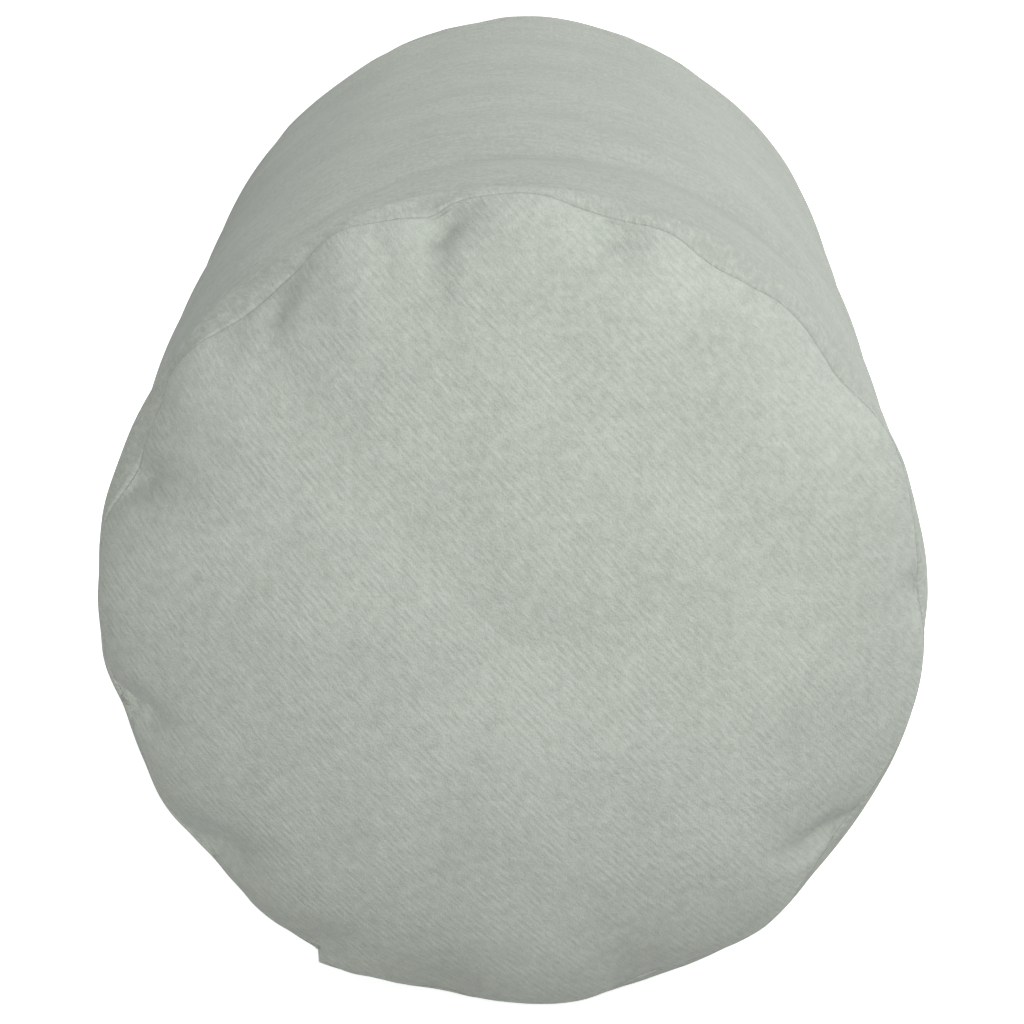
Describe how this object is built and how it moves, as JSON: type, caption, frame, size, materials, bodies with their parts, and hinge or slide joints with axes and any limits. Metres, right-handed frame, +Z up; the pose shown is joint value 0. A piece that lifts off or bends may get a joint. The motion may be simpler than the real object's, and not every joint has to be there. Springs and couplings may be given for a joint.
{
  "type": "bolster pillow",
  "caption": "Round fabric bolster with domed sewn ends and a zipped cover, for supporting knees, ankles or neck during massage.",
  "frame": {"origin": "middle of the flat that the pillow rests on", "axes": "+Y along the pillow from its near end to its far end, +Z up"},
  "size_m": [0.2, 0.5, 0.198],
  "materials": {
    "cover_twill": "matt sage-grey brushed twill, soft nap",
    "sewing_thread": "matt spun polyester thread, tone in tone",
    "zip_tape": "matt woven herringbone tape",
    "zip_coil": "satin nylon coil",
    "zip_metal": "satin nickel-plated zinc",
    "label_satin": "blank white satin ribbon",
    "liner_cotton": "plain unbleached cotton",
    "wadding": "white polyester wadding",
    "foam": "open-cell upholstery foam"
  },
  "bodies": {
    "pillow": {"cover_tube": "cover_twill", "cover_end_near": "cover_twill", "cover_end_far": "cover_twill", "zip_facing_upper": "cover_twill", "zip_facing_lower": "cover_twill", "seam_thread_near": "sewing_thread", "seam_thread_far": "sewing_thread", "zip_tape_upper": "zip_tape", "zip_tape_lower": "zip_tape", "zip_coil_upper": "zip_coil", "zip_coil_lower": "zip_coil", "zip_top_stop_upper": "zip_metal", "zip_top_stop_lower": "zip_metal", "zip_bottom_stop": "zip_metal", "care_label": "label_satin", "liner_tube": "liner_cotton", "liner_end_near": "liner_cotton", "liner_end_far": "liner_cotton", "wadding_wrap": "wadding", "wadding_end_near": "wadding", "wadding_end_far": "wadding", "foam_core": "foam"},
    "slider": {"zip_slider": "zip_metal"},
    "pull_tab": {"zip_pull_tab": "zip_metal"}
  },
  "joints": [
    {"name": "zip_slide", "type": "slide", "parent": "pillow", "child": "slider", "axis": [0, -1, 0], "range_m": [0, 0.3652]},
    {"name": "pull_tab_hinge", "type": "hinge", "parent": "slider", "child": "pull_tab", "pos_m": [-0.0517, 0.1826, 0.00845], "axis": [0.866, 0, -0.5], "range_deg": [0, 180]}
  ]
}
